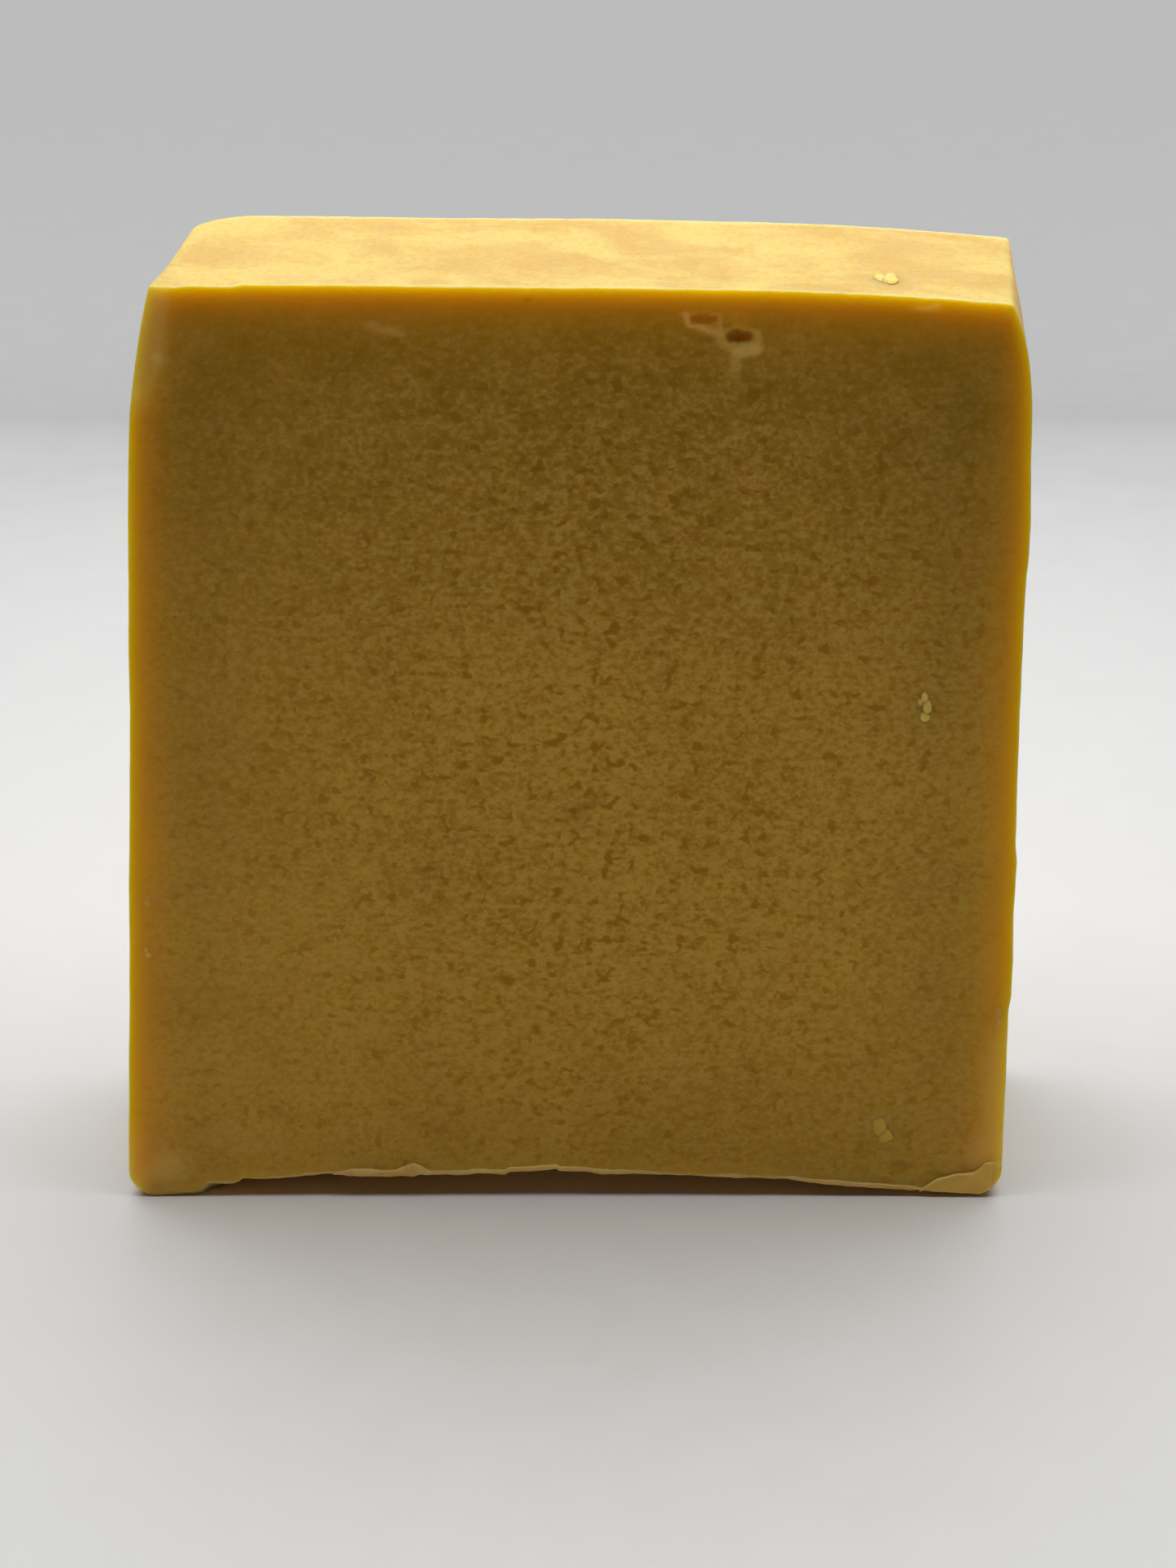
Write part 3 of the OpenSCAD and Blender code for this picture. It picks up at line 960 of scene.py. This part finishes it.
# Heights between which the block's colour changes, from and to: painted shade darker upwards and
# under the top edge, painted glow darker upwards and pinker at the foot
SHADE_DARKER_UP, CROWN_SHADE_UP, PAINTED_GLOW_DARKER_UP, FOOT_GLOW_UP = (73, 46), (71, 76), (77, 70), (8, 1)


def waxy(nodes, colour, roughness, normal, scatter=1.0):
    """The wax's shader: light goes in and comes out a little way off, redder the further."""
    nodes.shader.subsurface_method = "RANDOM_WALK"
    nodes.shader.inputs["Subsurface Radius"].default_value = [r * scatter for r in SCATTER_MM]
    nodes.shade("Subsurface Weight", 1.0)
    nodes.shade("Subsurface Scale", MM)
    nodes.shade("IOR", WAX_IOR)
    nodes.shade("Specular IOR Level", WAX_SPECULAR)
    nodes.shade("Base Color", colour)
    nodes.shade("Roughness", roughness)
    nodes.shade("Normal", normal)
    return nodes.material


def cut_colour(nodes, waves, specks):
    """The cut faces: wax in broad patches, torn into dark waves and specks and pale ridges,
    darkened upwards and under the top edge with painted shade.
    """
    mottle = nodes.mark("mottle")
    tone = nodes.noise(4.0, detail=3.0, roughness=0.6, stretch=(1.2, 1, 1))
    broad = nodes.noise(16.0)
    low_down = nodes.ramp(nodes.height(), *SHADE_DARKER_UP)
    dark = nodes.mix(low_down, WAX_DARK_SHADED_TOP, WAX_DARK_LOW)
    wave = nodes.times(nodes.ramp(waves, 0.46, 0.68), mottle)
    ridge = nodes.times(nodes.ramp(waves, 0.50, 0.32), mottle)
    speck = nodes.times(nodes.ramp(specks, 0.60, 0.69), mottle)
    # painted shade: darker towards the top, and most under the top edge
    colour = nodes.mix(low_down, WAX_SHADED_TOP_AND_PATCH, WAX_LOW)
    colour = nodes.mix(nodes.ramp(nodes.height(), *CROWN_SHADE_UP), colour, WAX_SHADED_CROWN)
    colour = nodes.tint(colour, nodes.ramp(tone, 0.42, 0.62), 0.4, WAX_BROWN)
    # darker broad patches, in the colour of the upper face
    colour = nodes.tint(colour, nodes.ramp(broad, 0.44, 0.62), 0.25, WAX_SHADED_TOP_AND_PATCH)
    colour = nodes.tint(colour, wave, 0.66, dark)
    colour = nodes.tint(colour, ridge, 0.5, WAX_PALE)
    colour = nodes.tint(colour, speck, 0.86, dark)
    # a darker band inside each side, and painted shade towards the upper right
    return nodes.mix(nodes.mark("dim"), colour, DIM_AND_SHADE_COLOUR)


def painted_glow_colour(nodes):
    """Painted glow: the amber that stands for light shining through the wax at the rims, pinker at
    the foot.
    """
    glow = nodes.mix(nodes.ramp(nodes.height(), *PAINTED_GLOW_DARKER_UP), PAINTED_GLOW_TOP, PAINTED_GLOW_LOW)
    return nodes.mix(nodes.ramp(nodes.height(), *FOOT_GLOW_UP), glow, PAINTED_GLOW_FOOT)


def skin_colour(nodes):
    """The moulded faces: pale bloom with dusky clouds and fine freckles."""
    clouds = nodes.noise(5.0, detail=3.0, roughness=0.6, stretch=(1.6, 1.6, 1), distortion=0.6)
    more_on_top = nodes.ramp(nodes.mark("up"), 0, 1, to_low=0.3)
    dusk = nodes.times(nodes.ramp(clouds, 0.42, 0.62), more_on_top)
    freckles = nodes.noise(0.5, detail=2.5, roughness=0.6, stretch=(1.1, 2.0, 1))
    freckled = nodes.ramp(dusk, 0, 1, to_low=0.35, to_high=0.8)
    skin = nodes.mix(dusk, WAX_BLOOM, WAX_DUSK)
    return nodes.tint(skin, nodes.ramp(freckles, 0.44, 0.64), freckled, WAX_FRECKLE)


def block_material():
    """The block's wax, coloured by the marks on its points."""
    nodes = Nodes("wax_block")
    bloom, pale = nodes.mark("bloom"), nodes.mark("pale")
    waves = nodes.noise(0.46, detail=3.0, roughness=0.58, stretch=(1.15, 1, 0.9), distortion=0.2)
    specks = nodes.noise(0.92, detail=1.0, stretch=(1.1, 1, 0.9), distortion=0.35)
    on_cut = nodes.ramp(bloom, 0.0, 1.0, to_low=0.75, to_high=0.0)
    colour = cut_colour(nodes, waves, specks)
    # painted glow at the rims, along the lip, underneath and inside the bubbles
    colour = nodes.mix(nodes.mark("painted_glow"), colour, painted_glow_colour(nodes))
    colour = nodes.mix(nodes.mark("shaved"), colour, WAX_SHAVED)
    colour = nodes.mix(bloom, colour, skin_colour(nodes))
    # pale wax on the cut faces, with painted highlights round the bubbles and on the flap's upper
    # line
    colour = nodes.tint(colour, pale, on_cut, WAX_SMEAR_AND_HIGHLIGHT)
    # painted highlights along the top's edges, on the moulded faces
    colour = nodes.tint(colour, pale, bloom, EDGE_HIGHLIGHT)
    # painted shade in the dents, the grooves and the dark bubble
    colour = nodes.mix(nodes.mark("recess_shade"), colour, RECESS_SHADE_COLOUR)
    roughness = nodes.ramp(waves, 0.3, 0.7, to_low=0.42, to_high=0.60)
    height = nodes.minus(nodes.times(specks, -1.0), nodes.times(waves, 0.8))
    return waxy(nodes, colour, roughness, nodes.bump(height, depth_mm=0.09))


def shaving_material(name, dull, bright, dark):
    """Thin wax, patchy between a dull and a bright colour, with a dark grain."""
    nodes = Nodes(name)
    grain = nodes.noise(0.35, detail=3.0, roughness=0.6)
    patch = nodes.noise(1.4)
    colour = nodes.mix(nodes.ramp(patch, 0.4, 0.65), dull, bright)
    colour = nodes.tint(colour, nodes.ramp(grain, 0.5, 0.7), 0.4, dark)
    roughness = nodes.ramp(grain, 0.3, 0.7, to_low=0.5, to_high=0.7)
    return waxy(nodes, colour, roughness, nodes.bump(grain, depth_mm=0.05), THIN_SCATTER)


def crumb_material():
    """The crumb on the top, of clean wax that the light shines through."""
    nodes = Nodes("wax_crumb")
    grain = nodes.noise(0.5, detail=3.0, roughness=0.6)
    colour = nodes.mix(nodes.ramp(grain, 0.4, 0.6), CRUMB_DULL, CRUMB_BRIGHT)
    roughness = nodes.ramp(grain, 0.3, 0.7, to_low=0.5, to_high=0.65)
    return waxy(nodes, colour, roughness, nodes.bump(grain, depth_mm=0.05), CRUMB_SCATTER)


# ---------------- the stage

FLOOR_REACH = 3600.0
FLOOR_GREYS = 0.785, 0.805
CARD_Y, CARD_LOW, CARD_HIGH, CARD_W = 226.0, 22.0, 700.0, 1600.0
CARD_GREYS, CARD_PALER = (0.58, 0.695), (12, 50)  # paler upwards between these heights
# Painted glow over the far floor, seen only by the camera
FAR_GLOW_NEAR, FAR_GLOW_FAR = 200.0, 3400.0  # from the middle of the floor
FAR_GLOW_LOW = 0.3  # just over the floor
FAR_GLOW_START, FAR_GLOW_FADE, FAR_GLOW_LIGHT = 212.0, 165.0, 0.47  # where, how gently and how much
SOFT_BOX_W, SOFT_BOX_D, SOFT_BOX_AT = 0.42, 0.27, (0, 0.041, 0.30)  # in metres
SOFT_BOX_WATTS = 1.22
FILL_COLOUR, FILL_STRENGTH = (0.95, 0.97, 1.0, 1), 0.036


def grey(value):
    return (value, value, value)


def floor_material():
    nodes = Nodes("pale_floor")
    grain = nodes.noise(6.0, detail=4.0)
    nodes.shade("Base Color", nodes.mix(grain, *map(grey, FLOOR_GREYS)))
    nodes.shade("Roughness", nodes.ramp(grain, 0.3, 0.7, to_low=0.45, to_high=0.55))
    return nodes.material


def card_material():
    nodes = Nodes("bounce_card")
    paler = nodes.ramp(nodes.height(), *CARD_PALER)
    nodes.shade("Base Color", nodes.mix(paler, *map(grey, CARD_GREYS)))
    return nodes.material


def far_glow_material():
    """Pale light laid over the far floor, which the overhead light doesn't reach."""
    nodes = Nodes("far_glow")
    squares = [nodes.times(along, along) for along in nodes.axes()]
    away = nodes.maths("SQRT", nodes.plus(nodes.plus(squares[0], squares[1]), squares[2]))
    past = nodes.maths("MAXIMUM", nodes.minus(away, FAR_GLOW_START * MM), 0.0)
    fade = nodes.maths("POWER", math.e, nodes.maths("DIVIDE", past, -FAR_GLOW_FADE * MM))
    clear = nodes.new("BsdfTransparent")
    glow = nodes.new("Emission", Strength=nodes.times(nodes.minus(1.0, fade), FAR_GLOW_LIGHT))
    both = nodes.new("AddShader")
    nodes.link(clear.outputs[0], both.inputs[0])
    nodes.link(glow.outputs[0], both.inputs[1])
    output = next(n for n in nodes.tree.nodes if n.type == "OUTPUT_MATERIAL")
    nodes.link(both.outputs[0], output.inputs["Surface"])
    nodes.material.cycles.emission_sampling = "NONE"
    return nodes.material


def put_on_stage(name, points, faces, material):
    """A mesh that isn't part of the object."""
    piece = make_mesh(name, points, faces)
    piece.data.materials.append(material)
    return piece


def make_floor():
    corners = FLOOR_REACH * np.array([(-1, -1, 0), (1, -1, 0), (1, 1, 0), (-1, 1, 0)])
    put_on_stage("floor", corners, [(0, 1, 2, 3)], floor_material())


def make_card():
    """A card that stands behind the bar and sends light back, unseen by the camera."""
    half = CARD_W / 2
    corners = np.array([(-half, CARD_Y, CARD_LOW), (half, CARD_Y, CARD_LOW),
                        (half, CARD_Y, CARD_HIGH), (-half, CARD_Y, CARD_HIGH)])
    card = put_on_stage("bounce_card", corners, [(0, 1, 2, 3)], card_material())
    card.visible_camera = False
    card.visible_shadow = False


def make_far_glow():
    """Painted glow: the pale surroundings that the camera sees past the lit floor, a glowing
    see-through bowl over it. They light nothing.
    """
    turns = np.linspace(0, math.pi / 2, 17)[:-1]
    reach = np.concatenate([[FAR_GLOW_NEAR], FAR_GLOW_FAR * np.cos(turns)])
    height = np.concatenate([[FAR_GLOW_LOW], FAR_GLOW_LOW + FAR_GLOW_FAR * np.sin(turns)])
    sides = 64
    angles = np.linspace(0, 2 * math.pi, sides, endpoint=False)
    rings = np.stack([np.outer(reach, np.cos(angles)), np.outer(reach, np.sin(angles)),
                      np.outer(height, np.ones(sides))], axis=2)
    number = ring_numbers(len(reach), sides)
    faces = band_faces(number) + [number[-1]]
    far_glow = put_on_stage("far_glow", rings.reshape(-1, 3), faces, far_glow_material())
    for other_rays in ("diffuse", "glossy", "transmission", "volume_scatter", "shadow"):
        setattr(far_glow, "visible_" + other_rays, False)


def make_lights():
    """One large soft box overhead, a little behind the bar, and a faint fill from all round."""
    light = bpy.data.lights.new("overhead", "AREA")
    light.shape = "RECTANGLE"
    light.size, light.size_y = SOFT_BOX_W, SOFT_BOX_D
    light.energy = SOFT_BOX_WATTS
    lamp = bpy.data.objects.new("overhead", light)
    bpy.context.scene.collection.objects.link(lamp)
    lamp.location = SOFT_BOX_AT
    world = bpy.data.worlds.new("studio")
    world.use_nodes = True
    background = world.node_tree.nodes["Background"]
    background.inputs["Color"].default_value = FILL_COLOUR
    background.inputs["Strength"].default_value = FILL_STRENGTH
    bpy.context.scene.world = world


# ---------------- the camera

CAMERA_X, CAMERA_Z = 0.88, 143.0
CAMERA_BACK = 260.7  # from the front face
CAMERA_PITCH = math.radians(22)
CAMERA_LENS, CAMERA_SENSOR = 80.07, 36.0
CAMERA_CLIP = 0.01, 10.0  # in metres


def make_camera():
    """The photograph's camera: a long lens, pitched down."""
    camera = bpy.data.cameras.new("camera")
    camera.lens, camera.sensor_width = CAMERA_LENS, CAMERA_SENSOR
    camera.clip_start, camera.clip_end = CAMERA_CLIP
    holder = bpy.data.objects.new("camera", camera)
    bpy.context.scene.collection.objects.link(holder)
    holder.location = [c * MM for c in (CAMERA_X, FRONT_Y - CAMERA_BACK, CAMERA_Z)]
    holder.rotation_euler = (math.pi / 2 - CAMERA_PITCH, 0, 0)
    bpy.context.scene.camera = holder


# ---------------- all together

make_camera()
make_block(block_material())
burr_wax = shaving_material("wax_burr", *BURR_WAX)
flake_wax = shaving_material("wax_shaving", *FLAKE_WAX)
dab_wax = shaving_material("wax_dab", *DAB_WAX)
make_burr(burr_wax)
make_sliver(burr_wax)
make_top_crumb(crumb_material())
make_flake(flake_wax)
make_dab(dab_wax)
make_right_crumb(dab_wax)
make_left_crumbs(dab_wax)
make_flap_ridge(burr_wax)
make_flap_sheet(shaving_material("wax_flap", *FLAP_WAX))
make_floor()
make_card()
make_far_glow()
make_lights()
bpy.context.scene.view_settings.view_transform = "Standard"
